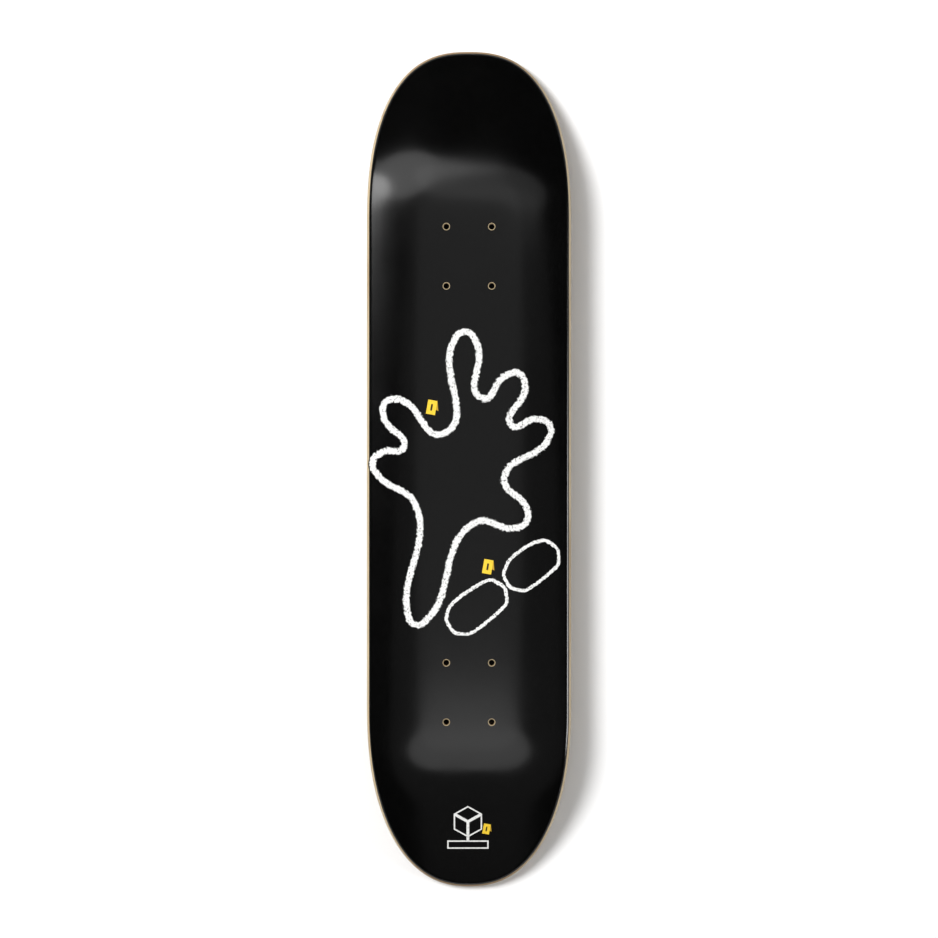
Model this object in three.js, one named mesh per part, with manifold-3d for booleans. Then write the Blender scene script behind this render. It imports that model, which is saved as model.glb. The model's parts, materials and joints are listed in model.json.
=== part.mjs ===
// A bare seven-ply maple skateboard deck with a printed underside.
//
// The deck lies riding side down, on the tips of its nose and tail, as it would on a table: +Y runs
// towards the nose, +X to the right seen from above, and +Z out of the printed underside. Lengths are in
// millimetres. The origin is the middle of the deck's box, on the table.
//
// Seven maple veneers are pressed together with a film of glue between each two. The pressing gives the
// laminate its form: level in the middle, concave across, and kicked down at the nose and tail. The outline
// is then sawn square to the table, the two edges are rounded over, eight truck holes are drilled, and a
// black transfer film with its printed inks goes on the underside.

import * as THREE from "three";
import { mergeVertices } from "three/addons/utils/BufferGeometryUtils.js";
import Module from "manifold-3d";

const wasm = await Module();
wasm.setup();

// ---- Driving dimensions ------------------------------------------------------------------------------

// Plan, measured from the middle of the truck hole pattern
const HALF_WIDTH = 93.25;
const NOSE = { side: 1, reach: 390.5, taperStart: 226.5, power: 2.5, bendStart: 246 };
const TAIL = { side: -1, reach: 381, taperStart: 210.5, power: 2.3, bendStart: 236 };
const WHEELBASE = 342.9; // between the inner rows of holes, 13.5 in
const HOLE_ROW_GAP = 53.975; // along the deck, 2.125 in
const HOLE_COLUMN_GAP = 41.275; // across the deck, 1.625 in
const HOLE_RADIUS = 2.75;
const FILM_HOLE_RADIUS = 3.65; // the drill lifts the film off a ring of bare wood

// Pressed form
const TIP_RISE = 46; // how far each kick carries its tip from the level middle
const BEND_RADIUS = 150;
const CONCAVE_DEPTH = 10; // the rails below the level strip down the middle
const LEVEL_HALF = 32; // half the width of that strip

// Laminate, from the riding face
const PLY = 1.5;
const GLUE = 0.1; // the bed of glue between two veneers
const GLUE_CLEARANCE = 0.003; // at each face of the bed, so that no two facets cut each other
const PLY_COUNT = 7;
const FILM = 0.1;
const FILM_CLEARANCE = 0.05; // the film's facets stay clear of the veneer's where it wraps the edge
const INK = 0.1;
const INK_CLEARANCE = 0.15; // and the inks' facets clear of the film's
const LAMINATE = PLY_COUNT * PLY + (PLY_COUNT - 1) * GLUE;

// Rounded edge
const EDGE_RADIUS = 4.5;
const FILM_EDGE_INSET = 2.3; // the film wraps over the rounding to here, and the wood beyond is bare

// Facets
const COLUMNS = [-1, -70, -51, -LEVEL_HALF, LEVEL_HALF, 51, 70, 1]; // x in mm, and the two rails
const KICK_ROWS = 8;
const TIP_ROW_HALF = 35; // half the length of the last row, which follows the tip's curve
const HOLE_SIDES = 12;

// ---- Finishes ----------------------------------------------------------------------------------------

const finish = (color, roughness) => new THREE.MeshStandardMaterial({ color, roughness, metalness: 0 });
const longGrain = () => finish("#c9b18c", 0.55);
const crossGrain = () => finish("#b4946a", 0.65);
const glueResin = () => finish("#8f7247", 0.5);
const blackFilm = () => finish("#0a0a0b", 0.38);
const whiteInk = () => finish("#efefec", 0.7);
const yellowInk = () => finish("#ecca3c", 0.55);

// ---- The deck's plan ---------------------------------------------------------------------------------

const endOf = (y) => (y >= 0 ? NOSE : TAIL);

// The outline of each end is a superellipse: (x / a)^power + (run / b)^power = 1.
const taperLength = (end) => end.reach - end.taperStart;

const outlineHalf = (end, run) => {
  const t = Math.max(0, run) / taperLength(end);
  return HALF_WIDTH * (1 - t ** end.power) ** (1 / end.power);
};

const outlineRun = (end, x) => {
  const s = Math.abs(x) / HALF_WIDTH;
  return taperLength(end) * (1 - s ** end.power) ** (1 / end.power);
};

// The outline's outward normal where its half width is x and its run is the given one.
const outlineNormal = (end, x, run) => {
  const across = (Math.abs(x) / HALF_WIDTH) ** (end.power - 1) / HALF_WIDTH;
  const along = (Math.max(0, run) / taperLength(end)) ** (end.power - 1) / taperLength(end);
  return new THREE.Vector2(Math.sign(x) * across, end.side * along).normalize();
};

// Runs of one end's rows, from the straight rails to the tip, in equal steps of the superellipse's angle.
const rowRuns = (end) => {
  const angleOf = (run) => Math.asin((run / taperLength(end)) ** (end.power / 2));
  const first = angleOf(end.bendStart - end.taperStart);
  const last = Math.acos((TIP_ROW_HALF / HALF_WIDTH) ** (end.power / 2));
  const runs = [0];
  for (let k = 0; k <= KICK_ROWS; k += 1) {
    const angle = THREE.MathUtils.lerp(first, last, k / KICK_ROWS);
    runs.push(taperLength(end) * Math.sin(angle) ** (2 / end.power));
  }
  return runs;
};

// Every row from the tail's tip to the nose's, as the end it belongs to and its run.
const ROWS = [
  ...rowRuns(TAIL).reverse().map((run) => ({ end: TAIL, run })),
  ...rowRuns(NOSE).map((run) => ({ end: NOSE, run })),
];
const LAST_ROW = ROWS.length - 1;
const LAST_COLUMN = COLUMNS.length - 1;

// Plan position of a grid point, with the outline drawn in by inset.
const planPoint = (row, column, inset) => {
  const { end, run } = ROWS[row];
  const rail = column === 0 || column === LAST_COLUMN;
  const share = rail ? COLUMNS[column] : COLUMNS[column] / (HALF_WIDTH - inset);
  if (row === 0 || row === LAST_ROW) {
    const x = share * TIP_ROW_HALF;
    const out = outlineRun(end, x);
    const normal = outlineNormal(end, x, out);
    return new THREE.Vector2(x, end.side * (end.taperStart + out)).addScaledVector(normal, -inset);
  }
  const half = outlineHalf(end, run);
  const normal = outlineNormal(end, half, run);
  return new THREE.Vector2(
    share * (half - inset * normal.x),
    end.side * (end.taperStart + run) - inset * normal.y,
  );
};

// ---- The pressed form --------------------------------------------------------------------------------

// A kick is an arc of BEND_RADIUS and then a straight run to the tip. Its angle follows from the tip's rise.
const kickAngle = (end) => {
  const length = end.reach - end.bendStart;
  const spare = 2 * BEND_RADIUS - TIP_RISE;
  return 2 * Math.atan((length - Math.sqrt(length ** 2 - TIP_RISE * spare)) / spare);
};

const kickAt = (y) => {
  const end = endOf(y);
  const angle = kickAngle(end);
  const beyond = Math.abs(y) - end.bendStart;
  const arcRun = BEND_RADIUS * Math.sin(angle);
  if (beyond <= 0) return { drop: 0, slope: 0 };
  if (beyond < arcRun) {
    const rest = Math.sqrt(BEND_RADIUS ** 2 - beyond ** 2);
    return { drop: BEND_RADIUS - rest, slope: beyond / rest };
  }
  const slope = Math.tan(angle);
  return { drop: BEND_RADIUS * (1 - Math.cos(angle)) + (beyond - arcRun) * slope, slope };
};

// The concave is a parabola outside the level strip.
const concaveAt = (x) => {
  const beyond = Math.max(0, Math.abs(x) - LEVEL_HALF) / (HALF_WIDTH - LEVEL_HALF);
  return {
    drop: CONCAVE_DEPTH * beyond ** 2,
    slope: (2 * CONCAVE_DEPTH * beyond) / (HALF_WIDTH - LEVEL_HALF),
  };
};

// The point of the laminate over (x, y) that is height above its riding face, measured through its thickness.
const laminatePoint = (x, y, height) => {
  const kick = kickAt(y);
  const concave = concaveAt(x);
  const stretch = Math.hypot(1, kick.slope, concave.slope);
  return new THREE.Vector3(x, y, height * stretch - kick.drop - concave.drop);
};

// How far the rounded edge draws the outline in, at a height above the riding face.
const edgeInset = (height) => {
  const depth = Math.max(0, Math.min(height, LAMINATE - height));
  if (depth >= EDGE_RADIUS) return 0;
  return EDGE_RADIUS - Math.sqrt(EDGE_RADIUS ** 2 - (EDGE_RADIUS - depth) ** 2);
};

// Depth below a face at which the rounding has drawn the outline in by inset.
const edgeDepth = (inset) =>
  EDGE_RADIUS - Math.sqrt(EDGE_RADIUS ** 2 - (EDGE_RADIUS - inset) ** 2);

// ---- Making solids -----------------------------------------------------------------------------------

const toManifold = (geometry) => {
  const bare = geometry.clone();
  bare.deleteAttribute("normal");
  bare.deleteAttribute("uv");
  const merged = mergeVertices(bare);
  return new wasm.Manifold(
    new wasm.Mesh({
      numProp: 3,
      vertProperties: new Float32Array(merged.attributes.position.array),
      triVerts: new Uint32Array(merged.index.array),
    }),
  );
};

const toGeometry = (solid) => {
  const { vertProperties, triVerts } = solid.getMesh();
  const geometry = new THREE.BufferGeometry();
  geometry.setAttribute("position", new THREE.BufferAttribute(vertProperties, 3));
  geometry.setIndex(new THREE.BufferAttribute(triVerts, 1));
  return geometry;
};

// A box's lower face is split along the other diagonals than its upper face. Here they are made the same, so
// that two layers meet facet for facet.
const LOWER_FACE = 5;
const matchDiagonals = (box) => {
  const { start, count } = box.groups[LOWER_FACE];
  const index = box.index.array;
  for (let k = start; k < start + count; k += 6) {
    const [a, b, d, , c] = index.slice(k, k + 6);
    index.set([a, b, c, a, c, d], k);
  }
};

// One layer of the deck: a gridded box pressed to the deck's form. levels go from its lower face, round its
// edge, to its upper face, and each gives a height in the laminate and the outline's inset there.
const layerGeometry = (levels) => {
  const steps = levels.length - 1;
  const box = new THREE.BoxGeometry(LAST_COLUMN, LAST_ROW, steps, LAST_COLUMN, LAST_ROW, steps);
  matchDiagonals(box);
  const position = box.attributes.position;
  for (let k = 0; k < position.count; k += 1) {
    const column = Math.round(position.getX(k) + LAST_COLUMN / 2);
    const row = Math.round(position.getY(k) + LAST_ROW / 2);
    const level = levels[Math.round(position.getZ(k) + steps / 2)];
    const { x, y } = planPoint(row, column, level.inset);
    const point = laminatePoint(x, y, level.height);
    position.setXYZ(k, point.x, point.y, point.z);
  }
  return box;
};

const levelAt = (height) => ({ height, inset: edgeInset(height) });

// The eight truck holes' places.
const holePlaces = () => {
  const rows = [WHEELBASE / 2, WHEELBASE / 2 + HOLE_ROW_GAP];
  return [1, -1].flatMap((end) =>
    rows.flatMap((y) => [1, -1].map((side) => new THREE.Vector2((side * HOLE_COLUMN_GAP) / 2, end * y))),
  );
};

const DRILL_LENGTH = 4 * LAMINATE; // well past both faces

const drills = (radius) =>
  holePlaces()
    .map(({ x, y }) => {
      const drill = new THREE.CylinderGeometry(radius, radius, DRILL_LENGTH, HOLE_SIDES);
      return toManifold(drill.rotateX(Math.PI / 2).translate(x, y, 0));
    })
    .reduce((all, drill) => all.add(drill));

const drilled = (levels, radius) => toGeometry(toManifold(layerGeometry(levels)).subtract(drills(radius)));

const meshOf = (name, geometry, material) => {
  const mesh = new THREE.Mesh(geometry, material);
  mesh.name = name;
  return mesh;
};

// ---- Veneers, glue and film --------------------------------------------------------------------------

const PLY_NAMES = [
  "riding_face",
  "long_grain",
  "crossband",
  "core",
  "crossband",
  "long_grain",
  "underside_face",
];

const plyMesh = (index) => {
  const low = index * (PLY + GLUE);
  const high = low + PLY;
  const levels = [levelAt(low), levelAt(high)];
  const rounding = { inset: FILM_EDGE_INSET, height: edgeDepth(FILM_EDGE_INSET) };
  if (index === 0) levels.splice(1, 0, rounding);
  if (index === PLY_COUNT - 1) levels.splice(1, 0, { ...rounding, height: LAMINATE - rounding.height });
  const material = PLY_NAMES[index] === "crossband" ? crossGrain() : longGrain();
  return meshOf(`ply_${index + 1}_${PLY_NAMES[index]}`, drilled(levels, HOLE_RADIUS), material);
};

const glueMesh = (index) => {
  const low = (index + 1) * PLY + index * GLUE + GLUE_CLEARANCE;
  const high = low + GLUE - 2 * GLUE_CLEARANCE;
  return meshOf(`glue_line_${index + 1}`, drilled([levelAt(low), levelAt(high)], HOLE_RADIUS), glueResin());
};

// The film lies on the underside and over the top of the rounding, where its own edge shows.
const filmMesh = () => {
  const flat = LAMINATE + FILM_CLEARANCE;
  const wrapped = flat - edgeDepth(FILM_EDGE_INSET);
  const levels = [
    { height: flat, inset: EDGE_RADIUS },
    { height: wrapped, inset: FILM_EDGE_INSET },
    { height: wrapped + FILM, inset: FILM_EDGE_INSET },
    { height: flat + FILM, inset: EDGE_RADIUS },
  ];
  return meshOf("graphic_film", drilled(levels, FILM_HOLE_RADIUS), blackFilm());
};

// ---- Printed inks ------------------------------------------------------------------------------------

// A flat geometry, INK thick, laid on the film's curve.
const inkMesh = (name, flat, material) => {
  const position = flat.attributes.position;
  const under = LAMINATE + FILM_CLEARANCE + FILM + INK_CLEARANCE;
  for (let k = 0; k < position.count; k += 1) {
    const point = laminatePoint(position.getX(k), position.getY(k), under + position.getZ(k));
    position.setXYZ(k, point.x, point.y, point.z);
  }
  return meshOf(name, flat, material);
};

const extruded = (shape) => new THREE.ExtrudeGeometry(shape, { depth: INK, bevelEnabled: false });

// Plan points turned by degrees about the origin and then moved to (x, y).
const placed = (points, { x, y, tilt }) =>
  points.map((point) => {
    const turned = point.clone().rotateAround(new THREE.Vector2(), THREE.MathUtils.degToRad(tilt));
    return turned.add(new THREE.Vector2(x, y));
  });

const plan = (pairs) => pairs.map(([x, y]) => new THREE.Vector2(x, y));

// A stroke is a band, width wide, along a closed counter-clockwise line: a four-sided torus whose corners are
// moved to the band's two edges, low and high.
const strokeMesh = (name, line, width, material) => {
  const corners = [
    { out: width / 2, height: 0 },
    { out: width / 2, height: INK },
    { out: -width / 2, height: INK },
    { out: -width / 2, height: 0 },
  ];
  const torus = new THREE.TorusGeometry(1, 1 / 2, corners.length, line.length);
  const position = torus.attributes.position;
  for (let k = 0; k < position.count; k += 1) {
    const step = k % (line.length + 1);
    const corner = corners[Math.floor(k / (line.length + 1)) % corners.length];
    const point = line[step % line.length];
    const before = line.at((step % line.length) - 1);
    const after = line[(step + 1) % line.length];
    const along = after.clone().sub(before).normalize();
    position.setXYZ(k, point.x + along.y * corner.out, point.y - along.x * corner.out, corner.height);
  }
  return inkMesh(name, torus, material);
};

// The splash: lobes round its middle, counter-clockwise. Each has its tip's direction in degrees from +X, its
// tip's distance from the middle, and the distance of the dip between it and the next.
const SPLASH = { x: -8, y: -2, stroke: 6.2, segments: 96 };
const SPLASH_LOBES = [
  { angle: 30, tip: 94, dip: 66 },
  { angle: 60, tip: 108, dip: 74 },
  { angle: 88, tip: 132, dip: 42 },
  { angle: 135, tip: 96, dip: 58 },
  { angle: 171, tip: 81, dip: 48 },
  { angle: 253, tip: 141, dip: 44 },
  { angle: 325, tip: 73, dip: 40 },
];
const LOBE_SHOULDER = 12; // to either side of a lobe's middle line
const SHOULDER_SHARE = 0.92; // the shoulder's distance from the splash's middle as a share of the tip's

const splashLine = () => {
  const points = SPLASH_LOBES.flatMap(({ angle, tip, dip }, k) => {
    const wrap = k + 1 === SPLASH_LOBES.length ? 360 : 0;
    const next = SPLASH_LOBES[(k + 1) % SPLASH_LOBES.length].angle + wrap;
    const shoulder = THREE.MathUtils.radToDeg(LOBE_SHOULDER / tip);
    return [
      [angle - shoulder, tip * SHOULDER_SHARE],
      [angle, tip],
      [angle + shoulder, tip * SHOULDER_SHARE],
      [(angle + next) / 2, dip],
    ];
  });
  const knots = points.map(([degrees, distance]) => {
    const turn = THREE.MathUtils.degToRad(degrees);
    return new THREE.Vector3(SPLASH.x + distance * Math.cos(turn), SPLASH.y + distance * Math.sin(turn), 0);
  });
  const curve = new THREE.CatmullRomCurve3(knots, true, "centripetal");
  return plan(curve.getSpacedPoints(SPLASH.segments).slice(1).map(({ x, y }) => [x, y]));
};

const splashMesh = () => strokeMesh("print_splash_outline", splashLine(), SPLASH.stroke, whiteInk());

// A capsule is two half circles joined by straight sides.
const CAPSULE = { radius: 15.5, stroke: 3.4, segments: 24 };
const CAPSULES = [
  { name: "print_capsule_lower", x: 7, y: -121, tilt: 37, straight: 30 },
  { name: "print_capsule_upper", x: 57, y: -83, tilt: 37, straight: 24 },
];

const capsuleMesh = (capsule) => {
  const path = new THREE.Path();
  path.absarc(capsule.straight / 2, 0, CAPSULE.radius, -Math.PI / 2, Math.PI / 2);
  path.absarc(-capsule.straight / 2, 0, CAPSULE.radius, Math.PI / 2, (3 * Math.PI) / 2);
  path.closePath();
  const line = placed(path.getSpacedPoints(CAPSULE.segments).slice(1), capsule);
  return strokeMesh(capsule.name, line, CAPSULE.stroke, whiteInk());
};

// A tag is a card seen from the front, with a narrow flap folded back along its right side. The flap's corner
// and foot are at shares of half the card's height.
const TAG = { width: 8.4, height: 13, flap: 2.4, flapCorner: -0.35, flapFoot: -0.25 };
const TAGS = [
  { name: "print_tag_upper", x: -34, y: 61, tilt: -10, scale: 1 },
  { name: "print_tag_middle", x: 17, y: -84, tilt: -10, scale: 1 },
  { name: "print_tag_lower", x: 16, y: -325, tilt: -10, scale: 0.75 },
];

const tagMesh = (tag) => {
  const right = (TAG.width / 2) * tag.scale;
  const top = (TAG.height / 2) * tag.scale;
  const corners = [
    [-right, -top],
    [right, -top],
    [right, top * TAG.flapFoot],
    [right + TAG.flap * tag.scale, top * TAG.flapCorner],
    [right, top],
    [-right, top],
  ];
  return inkMesh(tag.name, extruded(new THREE.Shape(placed(plan(corners), tag))), yellowInk());
};

// The emblem is a hexagon with three rhombic windows, standing on a hollow bar.
const EMBLEM = { x: -1, y: -318, radius: 15, line: 1.3, stem: 3, barWidth: 38, barHeight: 8 };

const polar = (distance, degrees) => {
  const turn = THREE.MathUtils.degToRad(degrees);
  return [distance * Math.cos(turn), distance * Math.sin(turn)];
};

const emblemMesh = () => {
  const { radius, line, stem, barWidth, barHeight } = EMBLEM;
  const hexagon = new THREE.Shape(plan([30, 90, 150, 210, 270, 330].map((turn) => polar(radius, turn))));
  for (const turn of [30, 150, 270]) {
    const side = radius - 2 * line;
    const [shiftX, shiftY] = polar(line, turn);
    const window = [[0, 0], polar(side, turn - 60), polar(side, turn), polar(side, turn + 60)];
    hexagon.holes.push(new THREE.Path(plan(window.map(([x, y]) => [x + shiftX, y + shiftY]))));
  }
  const barTop = -radius - stem;
  const box = (width, top, bottom) =>
    plan([
      [-width / 2, bottom],
      [width / 2, bottom],
      [width / 2, top],
      [-width / 2, top],
    ]);
  const bar = new THREE.Shape(box(barWidth, barTop, barTop - barHeight));
  bar.holes.push(new THREE.Path(box(barWidth - 2 * line, barTop - line, barTop - barHeight + line)));
  const post = new THREE.Shape(box(2 * line, -radius + line, barTop - line / 2));
  const joined = [hexagon, bar, post].map((shape) => toManifold(extruded(shape))).reduce((a, b) => a.add(b));
  return inkMesh("print_emblem", toGeometry(joined).translate(EMBLEM.x, EMBLEM.y, 0), whiteInk());
};

// ---- The deck ----------------------------------------------------------------------------------------

const deck = new THREE.Group();
for (let index = 0; index < PLY_COUNT; index += 1) deck.add(plyMesh(index));
for (let index = 0; index < PLY_COUNT - 1; index += 1) deck.add(glueMesh(index));
deck.add(filmMesh(), splashMesh(), ...CAPSULES.map(capsuleMesh), ...TAGS.map(tagMesh), emblemMesh());

// Stand the tips on the table, with the middle of the deck's box over the origin.
const box = new THREE.Box3().setFromObject(deck, true);
deck.position.set(0, -(box.min.y + box.max.y) / 2, -box.min.z);

export default deck;
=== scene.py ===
"""Looks of a bare seven-ply maple skateboard deck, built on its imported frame.

The deck lies riding side down on the tips of its nose and tail. Every layer is made flat, as it is in the
workshop, and then pressed: the outline is sawn, its edge rounded and its holes drilled on the flat, and one
press, a lattice, gives every layer and print the same concave and kicks.
"""

from __future__ import annotations

import json
import logging
import math
from abc import ABC, abstractmethod
from dataclasses import dataclass, field
from enum import Enum
from typing import Any, Callable, Iterable, Mapping, Sequence

import bmesh
import bpy
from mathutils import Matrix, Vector

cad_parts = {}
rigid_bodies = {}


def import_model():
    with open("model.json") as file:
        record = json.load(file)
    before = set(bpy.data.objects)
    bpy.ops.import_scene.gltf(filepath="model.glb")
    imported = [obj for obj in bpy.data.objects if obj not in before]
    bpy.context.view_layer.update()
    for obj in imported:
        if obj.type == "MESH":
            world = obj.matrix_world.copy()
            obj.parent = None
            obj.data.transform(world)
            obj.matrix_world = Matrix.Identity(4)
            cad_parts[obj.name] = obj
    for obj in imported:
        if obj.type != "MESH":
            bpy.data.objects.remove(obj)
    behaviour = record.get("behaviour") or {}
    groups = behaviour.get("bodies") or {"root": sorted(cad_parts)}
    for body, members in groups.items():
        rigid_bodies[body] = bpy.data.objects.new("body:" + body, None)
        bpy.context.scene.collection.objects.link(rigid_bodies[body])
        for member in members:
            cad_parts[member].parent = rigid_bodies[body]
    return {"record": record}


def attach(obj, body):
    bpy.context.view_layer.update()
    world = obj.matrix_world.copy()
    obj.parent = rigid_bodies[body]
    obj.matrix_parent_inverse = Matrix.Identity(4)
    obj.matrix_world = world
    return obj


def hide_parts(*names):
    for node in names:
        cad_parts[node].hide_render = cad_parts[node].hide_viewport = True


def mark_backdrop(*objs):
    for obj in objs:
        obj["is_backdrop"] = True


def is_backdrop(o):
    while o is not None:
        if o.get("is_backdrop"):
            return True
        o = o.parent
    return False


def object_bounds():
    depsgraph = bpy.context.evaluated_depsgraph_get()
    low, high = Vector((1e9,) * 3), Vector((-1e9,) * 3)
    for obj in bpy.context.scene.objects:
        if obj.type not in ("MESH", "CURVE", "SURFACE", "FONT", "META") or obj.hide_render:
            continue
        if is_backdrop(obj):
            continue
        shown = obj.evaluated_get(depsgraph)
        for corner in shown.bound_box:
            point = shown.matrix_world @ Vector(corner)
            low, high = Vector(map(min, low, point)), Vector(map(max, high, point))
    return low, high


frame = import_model()
CAD_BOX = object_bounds()

logging.basicConfig(level=logging.INFO, format="%(message)s")
LOG = logging.getLogger("deck")

MM = 0.001
FLAT = "flat_place"  # attribute: where each point lay before the press bent it
TINY = 1e-6  # metres: closer than this is the same place
Test = Callable[[Any], bool]
Pair = tuple[float, float]
Values = Mapping[int | str, object]
Stops = Sequence[tuple[float, str]]


# ---- Small helpers for work in edit mode ---------------------------------------------------------------


def deselect() -> None:
    """Leave edit mode and deselect everything."""
    if bpy.context.object is not None and bpy.context.object.mode != "OBJECT":
        bpy.ops.object.mode_set(mode="OBJECT")
    for other in bpy.context.view_layer.objects:
        other.select_set(False)
    bpy.context.view_layer.objects.active = None


def only(piece: bpy.types.Object) -> bpy.types.Object:
    """Make one object the selected and active one.

    Args:
        piece: the object to work on.

    Returns:
        The same object.
    """
    deselect()
    piece.select_set(True)
    bpy.context.view_layer.objects.active = piece
    return piece


def edit(piece: bpy.types.Object) -> None:
    """Go into edit mode on one object."""
    only(piece)
    bpy.ops.object.mode_set(mode="EDIT")


class Part(Enum):
    """What of a mesh is selected."""

    POINTS = "verts"
    EDGES = "edges"
    FACES = "faces"


def select(piece: bpy.types.Object, part: Part, test: Test) -> None:
    """Select the points, edges or faces that pass a test, and nothing else.

    Args:
        piece: the object in edit mode.
        part: what is selected.
        test: says of a point, edge or face whether it is selected.
    """
    bpy.ops.mesh.select_all(action="DESELECT")
    bpy.ops.mesh.select_mode(type=part.value[:-1].upper())
    shape = bmesh.from_edit_mesh(piece.data)
    for item in getattr(shape, part.value):
        item.select = test(item)
    shape.select_flush_mode()
    bmesh.update_edit_mesh(piece.data)


def cut(piece: bpy.types.Object, place: Vector, normal: Vector, **how: bool) -> None:
    """Cut right across an object in edit mode with a plane.

    Args:
        piece: the object in edit mode.
        place: a point of the plane.
        normal: the plane's normal.
        how: the bisect operator's own switches, such as clear_inner and use_fill.
    """
    bpy.ops.mesh.select_all(action="SELECT")
    bpy.ops.mesh.bisect(plane_co=place, plane_no=normal, threshold=1e-7, **how)


def apply(piece: bpy.types.Object, kind: str, **settings: object) -> None:
    """Add one modifier to an object and apply it.

    Args:
        piece: the object to finish.
        kind: the modifier's type.
        settings: its properties.
    """
    only(piece)
    modifier = piece.modifiers.new(kind.title(), kind)
    for name, value in settings.items():
        setattr(modifier, name, value)
    bpy.ops.object.modifier_apply(modifier=modifier.name)


def copy_of(piece: bpy.types.Object, name: str) -> bpy.types.Object:
    """Duplicate an object with a mesh of its own.

    Args:
        piece: the object to copy.
        name: the copy's name.

    Returns:
        The copy, selected and active.
    """
    only(piece)
    bpy.ops.object.duplicate(linked=False)
    copied = bpy.context.object
    copied.name = name
    copied.data.name = name
    return copied


def outward(piece: bpy.types.Object, smooth: float = 30.0) -> None:
    """Turn an object's faces outwards and shade it smooth below an angle.

    Args:
        piece: the object to finish.
        smooth: the angle in degrees.
    """
    edit(piece)
    bpy.ops.mesh.select_all(action="SELECT")
    bpy.ops.mesh.normals_make_consistent(inside=False)
    bpy.ops.object.mode_set(mode="OBJECT")
    bpy.ops.object.shade_smooth_by_angle(angle=math.radians(smooth))


# ---- Materials -----------------------------------------------------------------------------------------


def linear(hex_colour: str) -> tuple[float, float, float, float]:
    """Turn an sRGB hex colour to linear light.

    Args:
        hex_colour: such as "#c9b18c".

    Returns:
        Red, green, blue and an alpha of 1.
    """
    parts = [int(hex_colour[k : k + 2], 16) / 255 for k in (1, 3, 5)]
    red, green, blue = (p / 12.92 if p <= 0.04045 else ((p + 0.055) / 1.055) ** 2.4 for p in parts)
    return red, green, blue, 1.0


class Tree:
    """A material's node tree, with one call that adds a node."""

    def __init__(self, name: str) -> None:
        """Start an empty material.

        Args:
            name: the material's name.
        """
        self.material = bpy.data.materials.new(name)
        self.material.use_nodes = True
        self.nodes = self.material.node_tree.nodes
        self.links = self.material.node_tree.links
        self.nodes.clear()

    def add(
        self, kind: str, values: Values | None = None, stops: Stops = (), **settings: object
    ) -> bpy.types.Node:
        """Add a node with its settings and links.

        Args:
            kind: the node's type without its ShaderNode prefix.
            values: what each input socket gets, a value or another node's output socket. A map range's
                sockets 1 and 2 are the range that it reads, and 3 and 4 the one that it gives.
            stops: a colour ramp's pairs of position and hex colour.
            settings: the node's own properties.

        Returns:
            The new node.
        """
        node = self.nodes.new("ShaderNode" + kind)
        for name, value in settings.items():
            setattr(node, name, value)
        for key, value in (values or {}).items():
            socket = node.inputs[key]
            if isinstance(value, bpy.types.NodeSocket):
                self.links.new(value, socket)
            else:
                socket.default_value = value
        for index, (position, colour) in enumerate(stops):
            elements = node.color_ramp.elements
            element = elements[index] if index < len(elements) else elements.new(position)
            element.position, element.color = position, linear(colour)
        return node

    def finish(self, values: Values) -> bpy.types.Material:
        """End the material with its surface.

        Args:
            values: what the surface's own sockets get.

        Returns:
            The material.
        """
        surface = self.add("BsdfPrincipled", values)
        self.add("OutputMaterial", {"Surface": surface.outputs["BSDF"]})
        return self.material


def keep_flat_place(piece: bpy.types.Object) -> None:
    """Note each point's place in the flat laminate, so that grain and prints follow the deck's bends."""
    places = [part for point in piece.data.vertices for part in point.co]
    piece.data.attributes.new(FLAT, "FLOAT_VECTOR", "POINT").data.foreach_set("vector", places)


def put_on(piece: bpy.types.Object, material: bpy.types.Material) -> None:
    """Give an object one material."""
    piece.data.materials.clear()
    piece.data.materials.append(material)


class Grain(Enum):
    """Which way a veneer's fibres run."""

    LONG = "along the deck"
    CROSS = "across the deck"

    def squeeze(self, amount: float) -> Vector:
        """Give the mapping scale that draws a pattern out along the fibres, 1 / amount times as long."""
        return Vector((1, amount, 1)) if self is Grain.LONG else Vector((amount, 1, 1))


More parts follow.
